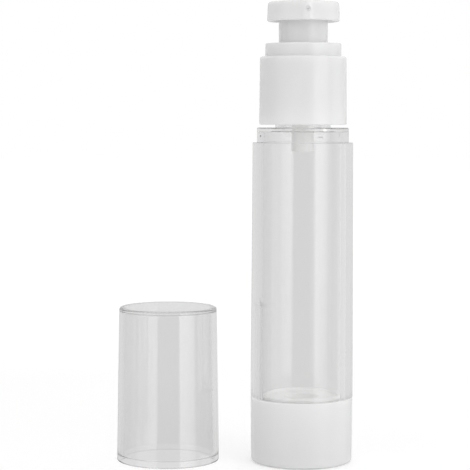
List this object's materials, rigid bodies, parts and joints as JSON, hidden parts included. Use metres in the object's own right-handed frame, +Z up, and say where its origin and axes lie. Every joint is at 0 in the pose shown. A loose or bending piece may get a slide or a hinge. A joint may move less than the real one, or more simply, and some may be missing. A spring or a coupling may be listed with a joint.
{
  "type": "airless pump bottle",
  "caption": "Clear cylindrical airless lotion bottle with a white base, screw collar and press-down nozzle head, a follower piston inside, and its clear overcap standing beside it.",
  "frame": {"origin": "middle of the flat underside of the base, on the bottle's axis", "axes": "+Z up along the bottle's axis; the nozzle looks towards -Y, turned 4 degrees to +X; the overcap stands at -X"},
  "size_m": [0.08, 0.0355, 0.1546],
  "materials": {
    "clear_san": "clear moulded styrene copolymer, polished",
    "white_pp": "white moulded polypropylene, satin gloss",
    "natural_pp": "natural moulded polypropylene",
    "soft_pe": "white moulded polyethylene",
    "foam_seal": "foamed polyethylene washer",
    "stainless": "drawn stainless wire and polished ball"
  },
  "bodies": {
    "bottle": {"bottle_body": "clear_san", "base_cup": "white_pp"},
    "follower": {"follower_piston": "soft_pe"},
    "pump": {"pump_cylinder": "natural_pp", "neck_gasket": "foam_seal", "stem_guide": "natural_pp", "return_spring": "stainless"},
    "collar": {"collar_sleeve": "white_pp", "screw_closure": "natural_pp"},
    "inlet_valve": {"inlet_ball": "stainless"},
    "stem": {"piston_stem": "natural_pp"},
    "piston": {"pump_piston": "soft_pe"},
    "head": {"actuator": "white_pp"},
    "cap": {"overcap": "clear_san"}
  },
  "joints": [
    {"name": "follower_rise", "type": "slide", "parent": "bottle", "child": "follower", "axis": [0, 0, 1], "range_m": [0, 0.0877]},
    {"name": "pump_rise", "type": "slide", "parent": "bottle", "child": "pump", "axis": [0, 0, 1], "range_m": [0, 0.0046]},
    {"name": "collar_turn", "type": "hinge", "parent": "pump", "child": "collar", "pos_m": [0, 0, 0.12], "axis": [0, 0, 1], "range_deg": [0, 540]},
    {"name": "ball_lift", "type": "slide", "parent": "pump", "child": "inlet_valve", "axis": [0, 0, 1], "range_m": [0, 0.0012]},
    {"name": "stem_press", "type": "slide", "parent": "pump", "child": "stem", "axis": [0, 0, -1], "range_m": [0, 0.007], "stiffness_N_per_m": 500, "springref_m": -0.008, "deforming": ["return_spring"]},
    {"name": "piston_float", "type": "slide", "parent": "stem", "child": "piston", "axis": [0, 0, 1], "range_m": [0, 0.001]},
    {"name": "head_swivel", "type": "hinge", "parent": "stem", "child": "head", "pos_m": [0, 0, 0.15], "axis": [0, 0, 1], "continuous": true},
    {"name": "cap_lift", "type": "slide", "parent": "bottle", "child": "cap", "axis": [0, 0, 1], "range_m": [0, 0.156]}
  ],
  "couplings": [
    {"joint": "pump_rise", "follows": "collar_turn", "m_per_rad": 0.00047746}
  ]
}
